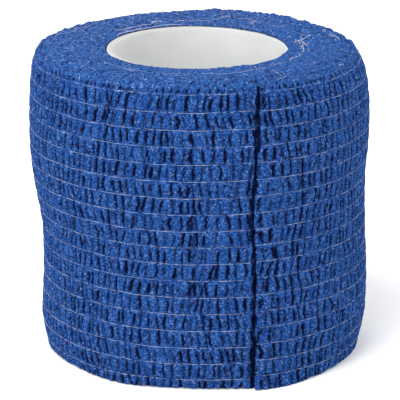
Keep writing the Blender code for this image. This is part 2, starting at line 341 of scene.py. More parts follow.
class BandageStage(bpy.types.PropertyGroup):
    camera_distance: length("Camera distance", "How far the camera stands in front of the roll's axis", 0.5)
    camera_height: length("Camera height", "Height of the camera above the floor", 0.1664)
    camera_tilt: angle("Camera tilt", "How far the camera looks down", 15.9)
    lens: amount("Lens", "Focal length of the camera, in millimetres, on a sensor 36 wide", 287.4)
    sky: amount("Sky light", "Strength of the even white light from all round", 0.64)
    key_power: amount("Key light", "Power of the large soft lamp above the left, in watts", 13.9)
    side_power: amount("Side light", "Power of the soft lamp on the right, in watts", 4.3)
    edge_power: amount("Edge light", "Power of the soft lamp behind the left, in watts", 3.1)


# ---------------------------------------------------------------- the winding


def smoothed_profile(side):
    """The side profile as a fine table without corners: its heights, and its radii."""
    pad = PROFILE_SMOOTHING * PROFILE_STEP * 2.0
    heights = np.arange(-pad, CLOTH_WIDTH + pad + PROFILE_STEP, PROFILE_STEP)
    radii = np.interp(heights, SIDE_PROFILE["height"], SIDE_PROFILE[side])
    window = np.hanning(2 * PROFILE_SMOOTHING + 1)
    radii = np.convolve(np.pad(radii, PROFILE_SMOOTHING, "edge"), window / window.sum(), "valid")
    return heights, radii


PROFILES = {side: smoothed_profile(side) for side in ("left", "right")}


class Winding:
    """Where the cloth lies, in millimetres, from the sizes that a user may change."""

    def __init__(self, sizes):
        self.pitch = sizes.turn_pitch / MM
        self.seam = sizes.seam_azimuth
        self.crown = sizes.band_crown / MM
        self.crumb = sizes.crumb_height / MM
        self.thickness = sizes.cloth_thickness / MM
        self.core = sizes.core_radius / MM
        self.around = 2.0 * math.pi * MEAN_RADIUS

    def azimuth(self, turn):
        return self.seam + 2.0 * math.pi * turn

    def outer_radius(self, turn, height):
        left = np.interp(height, *PROFILES["left"])
        right = np.interp(height, *PROFILES["right"])
        azimuth = self.azimuth(turn)
        rightness = 0.5 + 0.5 * np.sin(azimuth)
        flare = bumps(azimuth, FOOT_FLARE) * np.exp(-np.clip(height, 0.0, None) / FOOT_FLARE_HEIGHT)
        return left + (right - left) * rightness + flare + self.pitch * (0.5 - turn)

    def thread_height(self, turn, row):
        height = TOP_THREAD_HEIGHT - row * THREAD_PITCH
        climb = CLIMB_AT_BASE + (CLIMB_AT_TOP - CLIMB_AT_BASE) * height / CLOTH_WIDTH
        return height + climb * (0.5 - turn)

    def place(self, turn, radius, height):
        """Points in the frame, in metres."""
        azimuth = self.azimuth(turn)
        return np.stack([radius * np.sin(azimuth), -radius * np.cos(azimuth), height], axis=-1) * MM


def ease(share):
    share = np.clip(share, 0.0, 1.0)
    return share * share * (3.0 - 2.0 * share)


def lattice_noise(x, y, seed):
    """Smooth noise from -1 to 1, with one bump to each unit of x and of y."""
    table = np.random.default_rng(seed).uniform(-1.0, 1.0, NOISE_TABLE)
    column = np.floor(x).astype(int)
    row = np.floor(y).astype(int)
    across = ease(x - column)
    along = ease(y - row)

    def edge(row):
        near = table[column % NOISE_TABLE[0], row % NOISE_TABLE[1]] * (1.0 - across)
        return near + table[(column + 1) % NOISE_TABLE[0], row % NOISE_TABLE[1]] * across

    return edge(row) * (1.0 - along) + edge(row + 1) * along


def line_noise(x, seed, row=0.0):
    """The same noise along one line."""
    return lattice_noise(x, np.full_like(x, row), seed)


def bumps(azimuth, rows):
    """Soft bumps round the roll: their sum in mm, at azimuths in radians."""
    total = np.zeros_like(azimuth)
    for middle, spread, reach in rows:
        off = (np.degrees(azimuth) - middle + 180.0) % 360.0 - 180.0
        total = total + reach * np.exp(-0.5 * (off / spread) ** 2)
    return total


def facing(azimuth, towards):
    """1 at an azimuth in degrees, easing to 0 on the roll's other side."""
    return ease(0.5 + 0.5 * np.cos(azimuth - math.radians(towards)))


def haze(azimuth):
    """How pale and loose the fibres of the two ends look, more so at the back."""
    return 1.0 + 0.6 * facing(azimuth, 180.0) ** 2 - 0.5 * facing(azimuth, 90.0) ** 4


def hem_height(turn):
    return HEM_HEIGHT * ease(turn / HEM_CORNER)


def seam_edge(height):
    return np.interp(height, SEAM_EDGE["height"], SEAM_EDGE["along"])


def top_height(azimuth, inward):
    """How high the top end stands, at a distance in from the outer face."""
    crown = np.interp(inward, TOP_CROWN["inward"], TOP_CROWN["height"])
    crown = crown + bumps(azimuth, TOP_LIFT) * (1.0 - 0.8 * ease(inward / 11.0))
    front = facing(azimuth, BORE_DIP["azimuth"])
    dip = BORE_DIP["least"] + (BORE_DIP["most"] - BORE_DIP["least"]) * front
    return crown - dip * ease((inward - BORE_DIP["inward"]) / BORE_DIP["run"])


def lean_at(azimuth, height):
    """How far the leaning tube's side stands out from the upright, towards an azimuth."""
    below = CORE_LEAN["top"] - height
    slope = math.tan(math.radians(CORE_LEAN["angle"]))
    return -below * slope * np.cos(azimuth - math.radians(CORE_LEAN["azimuth"]))


def rim_height(azimuth, radius):
    slope = math.sin(math.radians(CORE_LEAN["angle"]))
    return CORE_LEAN["top"] - radius * slope * np.cos(azimuth - math.radians(CORE_LEAN["azimuth"]))


def crumb_relief(winding, azimuth, radius, inward):
    """The uneven edges of the wound turns on an end: (height in mm, painted shade in a pit, 0 to 1 by its
    depth).
    """
    x = radius * np.sin(azimuth)
    y = radius * np.cos(azimuth)
    grain = 0.50 * lattice_noise(x / CRUMBS["coarse"] + 300.0, y / CRUMBS["coarse"] + 200.0, 11)
    grain = grain + 0.50 * lattice_noise(x / CRUMBS["fine"] + 500.0, y / CRUMBS["fine"] + 100.0, 12)
    layers = np.cos(2.0 * math.pi * inward / CRUMBS["turn"])
    slow = lattice_noise(x / CRUMBS["slow"] + 90.0, y / CRUMBS["slow"] + 70.0, 13)
    height = winding.crumb * (grain + 0.25 * layers * (0.6 + 0.4 * slow)) + CRUMBS["swell"] * slow
    pit = CRUMBS["pit"] * ease((-0.20 - grain - 0.06 * layers) / 0.50)
    return height, pit


def top_surface(winding, azimuth, radius):
    """The height of the top end, in mm, at an azimuth in radians and a radius in mm."""
    turn = ((azimuth - winding.seam) / (2.0 * math.pi)) % 1.0
    outer = winding.outer_radius(turn, np.full_like(turn, TOP_CROWN["height"][0]))
    inward = outer - radius
    return top_height(azimuth, inward) + crumb_relief(winding, azimuth, radius, inward)[0]


# ---------------------------------------------------------------- the creases


class Creases:
    """Even rows of vertical creases, one row in each band between two threads."""

    def __init__(self, winding, number_in_turn, seed):
        rng = np.random.default_rng(seed)
        spacing = winding.around / number_in_turn
        run = winding.around * (1.0 + TUCK) + 4.0
        number = int(round(run / spacing))
        even = np.arange(number) * spacing - 2.0
        drift = np.zeros(number)
        self.middle = []
        self.upper = []
        self.lower = []
        for band in range(BANDS):
            step = line_noise(even / CREASE_DRIFT["run"] + 41.0 * band, seed + 1)
            drift = CREASE_DRIFT["memory"] * drift + CREASE_DRIFT["reach"] * step
            slant = line_noise(even / CREASE_SLANT["run"] + 37.0 * band, seed + 2)
            slant = CREASE_SLANT["reach"] * slant
            middle = np.sort(even + drift + rng.normal(0.0, CREASE_JITTER, number))
            self.middle.append(middle)
            self.upper.append(middle + slant + rng.normal(0.0, CREASE_JITTER, number))
            self.lower.append(middle - slant + rng.normal(0.0, CREASE_JITTER, number))
        shape = (BANDS, number)
        vigour = ease(rng.uniform(0.0, 1.1, shape))
        self.strength = CREASE_STRENGTH["least"] + CREASE_STRENGTH["more"] * vigour
        self.width = rng.uniform(*CREASE_WIDTH, shape)
        self.depth = CREASE_DEPTH[0] + self.strength * (CREASE_DEPTH[1] - CREASE_DEPTH[0])
        self.bow = rng.normal(0.0, CREASE_BOW, shape)
        self.head = rng.uniform(*CREASE_HEAD, shape)
        self.foot = rng.uniform(*CREASE_FOOT, shape)
        shape = (BANDS, NICKS_PER_BAND)
        self.nick_centre = np.sort(rng.uniform(-2.0, run, shape), axis=1)
        self.nick = {key: rng.uniform(*span, shape) for key, span in NICKS.items()}

    def band_creases(self, band, along, share):
        """(depth in mm, painted crease shade, softer darkness) of one band, at points along it and down it.
        """
        depth = np.zeros_like(along)
        dark = np.zeros_like(along)
        hollow = np.zeros_like(along)
        upper = self.upper[band]
        lower = self.lower[band]
        share = share - CREASE_SHIFT
        deepest, reach = {0: TOP_BAND_ARCH, THREAD_ROWS: BASE_BAND_ARCH}.get(band, BAND_ARCH)
        arch = np.clip(1.0 - ((share - deepest) / reach) ** 2, 0.0, 1.0)
        pinch = 0.62 + 0.38 * arch**0.5
        nearest = np.searchsorted(self.middle[band], along)
        for step in (-2, -1, 0, 1):
            index = np.clip(nearest + step, 0, len(upper) - 1)
            centre = upper[index] + (lower[index] - upper[index]) * share + self.bow[band][index] * arch
            begun = ease((share - self.head[band][index]) / CREASE_TAPER)
            ended = ease((self.foot[band][index] - share) / CREASE_TAPER)
            offset = np.abs(along - centre) / (self.width[band][index] * (0.70 + 0.30 * arch**0.6))
            wall = np.exp(-1.0 * offset**2.2) * (begun * ended) * pinch
            strength = self.strength[band][index]
            depth = np.maximum(depth, self.depth[band][index] * wall)
            dark = np.maximum(dark, strength * wall)
            hollow = np.maximum(hollow, strength * np.exp(-0.9 * offset**1.2) * pinch)
        nearest = np.searchsorted(self.nick_centre[band], along)
        for step in (-1, 0):
            index = np.clip(nearest + step, 0, NICKS_PER_BAND - 1)
            nick = {key: values[band][index] for key, values in self.nick.items()}
            across = (along - self.nick_centre[band][index]) / nick["width"]
            down = (share - nick["middle"]) / nick["half"]
            dent = np.exp(-1.2 * (across**2 + down**2))
            depth = np.maximum(depth, nick["depth"] * dent)
            # The nicks get painted shade too.
            dark = np.maximum(dark, 2.6 * nick["depth"] * dent)
        return depth, dark, hollow


def cloth_relief(winding, creases, turn, height):
    """How far the last turn's face stands out, in mm, and the painted shade in its creases, from 0 to 1."""
    along = turn * winding.around
    top = winding.thread_height(turn, 0)
    row = (top - height) / (top - winding.thread_height(turn, THREAD_ROWS - 1)) * (THREAD_ROWS - 1)
    band = np.clip(np.floor(row + 1e-6).astype(int) + 1, 0, THREAD_ROWS)
    share = np.clip(row + 1.0 - band, 0.0, 1.0)
    place = along + CREASE_WOBBLE * lattice_noise(along / 0.60 + 20.0, height / 0.42 + 10.0, 24)
    found = np.zeros((3, len(along)))
    for each in range(BANDS):
        chosen = band == each
        if chosen.any():
            found[:, chosen] = creases.band_creases(each, place[chosen], share[chosen])
    depth, dark, hollow = found * ease(1.3 + row * THREAD_PITCH / FADE_ABOVE_TOP_THREAD)
    from_middle = np.abs(2.0 * share - 1.0)
    pinch = np.where(row < 0.0, ease(1.0 + row * 2.0), from_middle**5)
    lumps = 0.09 * lattice_noise(along / 9.0 + 40.0, height / 7.0, 21)
    lumps = lumps + 0.05 * lattice_noise(along / 2.6 + 40.0, height / 2.7, 22)
    grain = 0.030 * lattice_noise(along / 0.33 + 30.0, height / 0.36, 23)
    # Painted shade along the threads, where the cloth is pinched.
    dark = np.maximum(dark, 0.20 * from_middle**4 * (row > 0.0))
    out = FACE_SWELL + lumps + grain - winding.crown * pinch - depth - 0.05 * hollow
    return out, dark


# ---------------------------------------------------------------- mesh helpers


def finish_piece(name, bm, material):
    mesh = bpy.data.meshes.new(name)
    bm.to_mesh(mesh)
    bm.free()
    mesh.materials.append(material)
    mesh.shade_smooth()
    piece = bpy.data.objects.new(name, mesh)
    bpy.context.scene.collection.objects.link(piece)
    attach(piece, "root")
    return piece


def grid_places(mesh, columns, rows):
    """The column and row of every vertex of a fresh grid."""
    flat = np.empty(len(mesh.vertices) * 3, np.float32)
    mesh.vertices.foreach_get("co", flat)
    flat = flat.reshape(-1, 3)
    column = np.rint((flat[:, 0] + 1.0) * 0.5 * columns).astype(int)
    row = np.rint((flat[:, 1] + 1.0) * 0.5 * rows).astype(int)
    return column, row


def rolled_grid(points, shades):
    """A bmesh grid laid on points[column][row]. Its rows close on themselves, and its columns may too."""
    columns = points.shape[0] - 1
    rows = points.shape[1]
    bm = bmesh.new()
    bmesh.ops.create_grid(bm, x_segments=columns, y_segments=rows, size=1.0)
    mesh = bpy.data.meshes.new("grid")
    bm.to_mesh(mesh)
    bm.free()
    column, row = grid_places(mesh, columns, rows)
    row = row % rows
    mesh.vertices.foreach_set("co", points[column, row].astype(np.float32).ravel())
    for name, values in shades.items():
        layer = mesh.attributes.new(name, "FLOAT", "POINT")
        layer.data.foreach_set("value", values[column, row].astype(np.float32))
    bm = bmesh.new()
    bm.from_mesh(mesh)
    bpy.data.meshes.remove(mesh)
    edge = [vert for vert in bm.verts if vert.is_boundary]
    bmesh.ops.remove_doubles(bm, verts=edge, dist=0.002 * MM)
    ends = [one for one in bm.edges if one.is_boundary]
    if ends:
        caps = bmesh.ops.holes_fill(bm, edges=ends, sides=0)["faces"]
        bmesh.ops.triangulate(bm, faces=caps)
    bmesh.ops.recalc_face_normals(bm, faces=bm.faces)
    return bm


def tubes_from_paths(name, paths, radius, radii):
    """Thin round strands along paths of points in metres, as one mesh with closed ends."""
    curve = bpy.data.curves.new(name, "CURVE")
    curve.dimensions = "3D"
    curve.bevel_depth = radius
    curve.bevel_resolution = 0
    curve.use_fill_caps = True
    for path, scale in zip(paths, radii):
        spline = curve.splines.new("POLY")
        spline.points.add(len(path) - 1)
        flat = np.ones((len(path), 4))
        flat[:, :3] = path
        spline.points.foreach_set("co", flat.ravel())
        spline.points.foreach_set("radius", scale)
    holder = bpy.data.objects.new(name + "_curve", curve)
    bpy.context.scene.collection.objects.link(holder)
    graph = bpy.context.evaluated_depsgraph_get()
    mesh = bpy.data.meshes.new_from_object(holder.evaluated_get(graph))
    bpy.data.objects.remove(holder)
    bpy.data.curves.remove(curve)
    bm = bmesh.new()
    bm.from_mesh(mesh)
    bpy.data.meshes.remove(mesh)
    bmesh.ops.remove_doubles(bm, verts=bm.verts, dist=0.0002 * MM)
    bmesh.ops.recalc_face_normals(bm, faces=bm.faces)
    return bm


def shade_strands(bm, paths, shades):
    """Give each corner of the strands the shade of the nearest point on their paths."""
    layer = bm.verts.layers.float.new("crease")
    points = np.concatenate(paths)
    values = np.concatenate(shades)
    tree = KDTree(len(points))
    for index, point in enumerate(points):
        tree.insert(point, index)
    tree.balance()
    for vert in bm.verts:
        vert[layer] = float(values[tree.find(vert.co)[1]])


# ---------------------------------------------------------------- materials


class Nodes:
    """A short way to lay out the nodes of one material."""

    def __init__(self, name, roughness):
        self.material = bpy.data.materials.new(name)
        self.material.use_nodes = True
        self.tree = self.material.node_tree
        self.shader = self.tree.nodes["Principled BSDF"]
        self.feed(self.shader, {"Roughness": roughness})
        self.coordinates = self.add("ShaderNodeTexCoord").outputs["Object"]

    def feed(self, node, inputs):
        """Link or set a node's inputs, given by their names or numbers."""
        for key, value in inputs.items():
            if isinstance(value, bpy.types.NodeSocket):
                self.tree.links.new(value, node.inputs[key])
            else:
                node.inputs[key].default_value = value

    def add(self, kind, inputs=None, **settings):
        node = self.tree.nodes.new(kind)
        for key, value in settings.items():
            setattr(node, key, value)
        self.feed(node, inputs or {})
        return node

    def noise(self, scale, detail, roughness=0.5):
        inputs = {"Vector": self.coordinates, "Scale": scale, "Detail": detail, "Roughness": roughness}
        return self.add("ShaderNodeTexNoise", inputs).outputs["Fac"]

    def voronoi(self, scale):
        inputs = {"Vector": self.coordinates, "Scale": scale}
        return self.add("ShaderNodeTexVoronoi", inputs, feature="F1")

    def spots(self, scale):
        return self.voronoi(scale).outputs["Distance"]

    def cells(self, scale):
        tone = self.voronoi(scale).outputs["Color"]
        return self.add("ShaderNodeSeparateColor", {0: tone}).outputs["Red"]

    def average(self, first, second, share):
        inputs = {0: share, 2: first, 3: second}
        return self.add("ShaderNodeMix", inputs, data_type="FLOAT").outputs[0]

    def between(self, factor, first, second):
        inputs = {0: factor, 6: first, 7: second}
        return self.add("ShaderNodeMix", inputs, data_type="RGBA").outputs[2]

    def ramp(self, factor, stops):
        node = self.add("ShaderNodeValToRGB", {"Fac": factor})
        elements = node.color_ramp.elements
        while len(elements) < len(stops):
            elements.new(0.5)
        for element, (position, tone) in zip(elements, stops):
            element.position = position
            element.color = tone
        return node.outputs["Color"]

    def measure(self, value, low, high, at_low=0.0, at_high=1.0):
        inputs = {"Value": value, "From Min": low, "From Max": high, "To Min": at_low, "To Max": at_high}
        return self.add("ShaderNodeMapRange", inputs).outputs["Result"]

    def math(self, operation, first, second):
        return self.add("ShaderNodeMath", {0: first, 1: second}, operation=operation).outputs[0]

    def attribute(self, name):
        return self.add("ShaderNodeAttribute", attribute_name=name).outputs["Fac"]

    def finish(self, surface, relief, height, strength):
        """Feed the shader, and raise its surface by a relief with a height in mm."""
        self.feed(self.shader, surface)
        inputs = {"Strength": strength, "Distance": height * MM, "Height": relief}
        self.feed(self.shader, {"Normal": self.add("ShaderNodeBump", inputs).outputs["Normal"]})
        return self.material


def crinkled_cloth(colours):
    """Blue bonded fibres: mottled, with painted shade in small dark pits and near black at the bottom of
    each crease.
    """
    made = bpy.data.materials.get("puckered_blue_cloth")
    if made:
        return made
    nodes = Nodes("puckered_blue_cloth", 0.92)
    dark = colours.cloth_dark
    light = colours.cloth_light
    fibres = nodes.average(nodes.noise(5200.0, 1.5, 0.6), nodes.cells(5200.0), 0.50)
    stops = [(0.375, dark), (0.46, colours.cloth), (0.54, colours.cloth), (0.625, light)]
    mottled = nodes.ramp(fibres, stops)

    ends = nodes.attribute("ends")
    on_ends = nodes.measure(ends, 0.0, 1.0)
    stronger = nodes.measure(ends, 0.0, 1.0, 1.0, 2.6)
    at_back = nodes.measure(ends, 1.0, 1.6)
    crumbly = nodes.math("MULTIPLY", on_ends, nodes.measure(ends, 1.0, 1.6, 1.0, 0.55))
    loose = nodes.measure(ends, 0.0, 1.0, 0.50, 0.95)
    # Small pits of painted shade, tinted by this noise between near black and mauve.
    pit_tint = nodes.noise(900.0, 1.0)
    hollow = nodes.between(nodes.measure(pit_tint, 0.45, 0.60), colours.crease, colours.pit)
    mauve = nodes.between(nodes.measure(pit_tint, 0.45, 0.60, 0.0, 0.55), dark, colours.pit)
    # The layers of colour, one over another. Each row holds a pattern, the low and high of it that count,
    # how much of the colour shows at each of those, where on the roll it shows, and the colour.
    layers = (
        (nodes.noise(2700.0, 1.0), 0.50, 0.66, 0.0, 0.30, stronger, colours.cloth_violet),
        (nodes.noise(3300.0, 1.0), 0.50, 0.66, 0.0, 0.40, stronger, colours.cloth_teal),
        (nodes.noise(1300.0, 2.0), 0.35, 0.65, 0.08, 0.42, 1.0, dark),
        (ends, 0.0, 1.5, 0.0, 0.55, 1.0, light),
        (nodes.noise(2300.0, 2.0, 0.6), 0.52, 0.62, 0.0, 0.85, ends, light),
        (nodes.noise(1000.0, 2.0), 0.46, 0.62, 0.0, 0.34, at_back, colours.cloth_haze),
        (nodes.noise(1200.0, 1.0), 0.42, 0.58, 0.55, 0.0, at_back, dark),
        (nodes.noise(2600.0, 2.0, 0.6), 0.39, 0.49, 1.0, 0.0, crumbly, dark),
        (nodes.cells(4700.0), 0.94, 0.99, 0.0, 1.0, loose, colours.fleck),
        (nodes.spots(640.0), 0.10, 0.23, 0.90, 0.0, 1.0, hollow),
        (nodes.spots(1250.0), 0.18, 0.36, 1.0, 0.0, crumbly, mauve),
    )
    for pattern, low, high, at_low, at_high, where, tone in layers:
        share = nodes.math("MULTIPLY", nodes.measure(pattern, low, high, at_low, at_high), where)
        mottled = nodes.between(share, mottled, tone)

    # Painted shade from the crease attribute: in creases, pits, the seam's pocket and hidden faces.
    ragged = nodes.math("ADD", nodes.attribute("crease"), nodes.measure(fibres, 0.3, 0.7, 0.10, -0.10))
    surface = {
        "Base Color": nodes.between(nodes.measure(ragged, 0.10, 0.68), mottled, colours.crease),
        "Specular IOR Level": 0.04,
        "Roughness": nodes.measure(fibres, 0.3, 0.7, 0.98, 0.82),
    }
    return nodes.finish(surface, fibres, 0.12, 0.8)


def pale_thread(colours):
    """Covered elastic: pale and a little uneven along its length, with painted shade where it dips in a
    crease.
    """
    nodes = Nodes("pale_elastic", 0.6)
    wrap = nodes.noise(1500.0, 2.0)
    lit = nodes.ramp(wrap, [(0.35, THREAD_TINTS["dull"]), (0.65, colours.thread)])
    # Painted shade where the thread dips in a crease, with random dull stretches.
    sunk = nodes.measure(nodes.attribute("crease"), 0.15, 0.7)
    surface = {"Base Color": nodes.between(sunk, lit, THREAD_TINTS["sunk"])}
    return nodes.finish(surface, wrap, 0.03, 0.5)


def loose_elastic():
    """The same elastic where it lies loose, faint by each strand's own shade."""
    nodes = Nodes("loose_elastic", 0.55)
    wrap = nodes.noise(900.0, 2.0)
    lit = nodes.ramp(wrap, [(0.35, LOOSE_TINTS["dull"]), (0.65, LOOSE_TINTS["lit"])])
    surface = {"Base Color": nodes.between(nodes.attribute("crease"), lit, LOOSE_TINTS["faint"])}
    return nodes.finish(surface, wrap, 0.03, 0.4)


def fuzz_fibre(colours):
    nodes = Nodes("blue_fuzz", 0.8)
    tone = nodes.ramp(nodes.noise(300.0, 1.0), [(0.4, colours.cloth), (0.6, colours.cloth_light)])
    nodes.feed(nodes.shader, {"Base Color": tone})
    return nodes.material


def toned(tint, share):
    return tuple(min(1.0, channel * share) for channel in tint[:3]) + (1.0,)


def white_plastic(colours):
    """Moulded plastic, off white, with a faint drawn grain, and painted shade down inside the tube."""
    nodes = Nodes("core_plastic", 0.42)
    drawn = nodes.noise(260.0, 3.0)
    wall = nodes.ramp(drawn, [(0.35, colours.plastic), (0.65, toned(colours.plastic, 1.06))])
    # A darker copy of the plastic, painted in as shade deeper down the tube.
    wall = nodes.between(nodes.attribute("painted_deep_shade"), wall, toned(colours.plastic, 0.74))
    surface = {
        "Base Color": nodes.between(nodes.attribute("rim"), wall, colours.rim),
        "Roughness": nodes.measure(drawn, 0.3, 0.7, 0.38, 0.50),
    }
    return nodes.finish(surface, nodes.noise(1800.0, 2.0), 0.02, 0.3)


# ---------------------------------------------------------------- the pieces


def make_sheet_piece(name, start, end, sizes, colours, creases):
    """Part of the last turn, as one closed sheet: creased face, rolled top edge, back and hem."""
    winding = Winding(sizes)
    turn = np.linspace(start, end, COLUMNS_PER_SHEET + 1)
    hem = hem_height(turn)
    bottom = winding.thread_height(turn, THREAD_ROWS - 1)
    outline = []

    def add(height, inward):
        outline.append((np.broadcast_to(height, turn.shape), np.full_like(turn, inward)))

    for inward, rise in HEM_ROUNDING:
        add(hem + rise, inward)
    for share in np.linspace(0.0, 1.0, ROWS_BELOW_THREADS, endpoint=False):
        add(hem + HEM_TOP + (bottom - hem - HEM_TOP) * share, 0.0)
    for row in range(THREAD_ROWS - 1, 0, -1):
        low = winding.thread_height(turn, row)
        high = winding.thread_height(turn, row - 1)
        for share in np.linspace(0.0, 1.0, ROWS_PER_BAND, endpoint=False):
            add(low + (high - low) * share, 0.0)
    shoulder = winding.thread_height(turn, 0)
    for roll in np.radians(np.arange(0.0, 90.0, 12.0)):
        rise = (TOP_CROWN["height"][0] - shoulder) * math.sin(roll)
        add(shoulder + rise, ROLLED_EDGE["inward"] * (1.0 - math.cos(roll)))
    face_rows = len(outline)
    for height in SHEET_BACK_RINGS:
        add(height, winding.thickness)
    add(hem + 0.5, winding.thickness)
    # Painted shade on the sheet's back, which lies against the turn under it, lighter at its top ring.
    back_shade = np.full(len(outline), 0.6)
    back_shade[face_rows] = 0.1
    faces = np.arange(len(outline)) < face_rows
    heights, inwards = np.array(outline).transpose(1, 2, 0)
    turns = np.repeat(turn[:, None], len(outline), axis=1)

    relief, dark = cloth_relief(winding, creases, turns.ravel(), heights.ravel())
    relief = relief.reshape(turns.shape)
    dark = dark.reshape(turns.shape)
    radius = winding.outer_radius(turns, heights) - inwards
    azimuth = winding.azimuth(turns)
    crumb, pit = crumb_relief(winding, azimuth, radius, inwards)
    heights = heights + bumps(azimuth, TOP_LIFT) * ease((heights - 48.0) / 1.4)
    on_top = ease((heights - TOP_THREAD_HEIGHT - 0.3) / 1.0) * faces
    out_of_hem = ease((heights - hem[:, None]) / 0.5)
    along = turns * winding.around
    scallop = 0.12 * line_noise(along / 0.9, 31) * (1.0 - out_of_hem)
    radius = radius + relief * (1.0 - on_top) * faces * (0.35 + 0.65 * out_of_hem)
    bumpy = 0.30 * lattice_noise(along / 1.5 + 60.0, inwards / 1.4, 32)
    bumpy = bumpy + 0.10 * lattice_noise(along / 0.6 + 60.0, inwards / 0.5, 33)
    heights = heights + (crumb + bumpy) * on_top + (scallop + 0.06) * faces
    heights = np.maximum(heights, 0.0)
    radius = radius + 0.5 * crumb * on_top
    dark = np.where(faces, np.maximum(dark * (1.0 - on_top), pit * on_top), back_shade)

    turns, radius, dark = shape_cut_end(winding, turns, radius, heights, inwards, dark)
    points = winding.place(turns, radius, heights)
    bm = rolled_grid(points, {"crease": dark, "ends": on_top * haze(azimuth)})
    return finish_piece(name, bm, crinkled_cloth(colours))


def shape_cut_end(winding, turns, radius, heights, inwards, dark):
    """Thin the cut end out over its hollow, swell the cloth under it up to it, and paint shade on its cut
    face and beside it.
    """
    along = turns * winding.around
    edge_line = seam_edge(heights)
    ragged = 0.12 * line_noise(heights / 0.9, 41) + 0.12 * line_noise(heights / 0.35, 42)
    near_end = ease(1.0 - along / END_THINNING["run"])
    inner = np.clip(inwards, 0.0, 1.0)
    below_shoulder = ease((49.1 - heights) / 1.1)
    thinning = END_THINNING["raise"] * inner - END_THINNING["hollow"] * (1.0 - inner)
    radius = radius + thinning * near_end**2 * below_shoulder
    turns = turns + edge_line * ease(1.0 - along / 4.0) / winding.around
    turns = turns + (ragged + 0.35 * inner) * near_end / winding.around

    before_seam = winding.around + edge_line - along
    under = turns > 0.6
    band = (TOP_THREAD_HEIGHT - heights) / THREAD_PITCH
    slack = np.interp(band, np.arange(len(SEAM_SLACK)) - 0.5, SEAM_SLACK)
    slack = slack + 0.12 * line_noise(heights / 0.7 + 7.0, 43)
    pocket = 1.0 - np.abs(2.0 * (band - np.floor(band)) - 1.0) ** 3
    swell = ease(1.0 - before_seam / UNDER_SWELL["run"]) * ease(1.0 + before_seam / 1.2)
    dip = ease(1.0 - before_seam / (0.30 + 0.50 * slack)) * pocket
    radius = radius + (UNDER_SWELL["reach"] * swell - (0.03 + 0.30 * slack) * dip) * under * below_shoulder
    # Painted shade on the cut face, and a ragged band of painted shade in the pocket beside the cut end.
    edge = ease(1.0 - along / 0.05) * 0.7
    mottled = 0.72 + 0.28 * lattice_noise(heights / 0.35 + 3.0, along / 0.25, 44)
    shaded_to = 0.18 + 0.80 * slack * pocket
    shade = ease((shaded_to - before_seam) / 0.28) * under * mottled
    dark = np.maximum(dark, np.maximum(edge, shade) * below_shoulder)
    return turns, radius, dark


def make_body(sizes, colours):
    """Every turn but the last: one wound form with the edges of its turns on both ends, and the bore."""
    winding = Winding(sizes)
    turn = TUCK + TUCK_CLEARANCE + np.linspace(0.0, 1.0, BODY_COLUMNS + 1)
    turn[0] = turn[-1]
    around = winding.azimuth(turn)
    gap = winding.thickness + 0.02
    radii = []
    heights = []
    kinds = []

    def side_at(height):
        return winding.outer_radius(turn, np.full_like(turn, height)) - gap

    def add(radius, height, kind):
        radii.append(np.broadcast_to(radius, turn.shape))
        heights.append(np.broadcast_to(height, turn.shape))
        kinds.append(kind)

    edge_height = TOP_CROWN["height"][0]
    edge = side_at(edge_height)
    bore = winding.core + BORE_GAP
    bore_foot = bore + lean_at(around, 0.0)
    foot_run = side_at(1.0) - 0.3 - 0.4 - bore_foot - 0.15
    overhang = LIP_OVERHANG["most"] - LIP_OVERHANG["least"]
    overhang = LIP_OVERHANG["least"] + overhang * facing(around, LIP_OVERHANG["azimuth"])
    parted = bumps(around, LIP_GAP)
    lip = bore - overhang + parted
    lip_top = top_height(around, gap + edge - lip)
    lip_under = np.minimum(rim_height(around, winding.core) + LIP_CLEARANCE, lip_top - LIP_THICKNESS)

    for height in BORE_RINGS:
        add(bore + lean_at(around, height), height, "bore")
    for step in np.linspace(0.0, 1.0, FOOT_RINGS):
        add(bore_foot + 0.15 + foot_run * step, 0.0, "foot")
    for height in BODY_SIDE_RINGS:
        add(side_at(height) - 0.05, height, "side")
    add(edge - 0.01, edge_height - 0.45, "edge")
    for step in np.linspace(0.0, 1.0, TOP_RINGS):
        inward = (edge - lip) * step
        add(edge - inward, top_height(around, gap + inward), "top")
    add(lip + 0.02, lip_under + 0.09, "lip")
    add(lip + 0.10, lip_under, "lip")
    add(bore, lip_under - 0.02, "bore")
    add(bore, 48.0, "bore")

    radii = np.array(radii).T
    heights = np.array(heights).T
    kinds = np.array(kinds)
    turns = np.repeat(turn[:, None], radii.shape[1], axis=1)
    azimuth = winding.azimuth(turns)
    crumb, pit = crumb_relief(winding, azimuth, radii, edge[:, None] + gap - radii)
    top = kinds == "top"
    foot = kinds == "foot"
    step = np.cumsum(top) / top.sum()
    heights = heights + crumb * np.where(top, ease((1.0 - step) / 0.05 + 0.3), 0.0)
    near_bore = ease((lip[:, None] + 0.5 - radii) / 0.5) * (top | (kinds == "lip"))
    wander = 0.10 * line_noise(azimuth * 9.0 + 50.0, 51) + 0.06 * line_noise(azimuth * 30.0 + 50.0, 52)
    radii = radii + wander * near_bore
    foot_crumb = np.clip(0.10 - 0.8 * crumb, 0.0, 0.3) * (radii > bore_foot[:, None] + 0.3)
    heights = np.where(foot, foot_crumb, heights)
    # Painted shade: in pits on both ends, on side and bore hidden in gaps, a little on the edge ring, and
    # where the lip parts from the rim.
    dark = np.where(top, pit * 0.95, np.where(foot, pit * 0.6, 0.5))
    lip_shade = 0.05 + 2.4 * np.clip(parted[:, None], 0.0, None)
    dark = np.where(kinds == "lip", lip_shade, np.where(kinds == "edge", 0.1, dark))
    for values in (dark, radii, heights):
        values[-1] = values[0]

    points = winding.place(turns, radii, heights)
    bm = rolled_grid(points, {"crease": dark, "ends": (top | foot) * haze(azimuth)})
    return finish_piece("wound_body", bm, crinkled_cloth(colours))


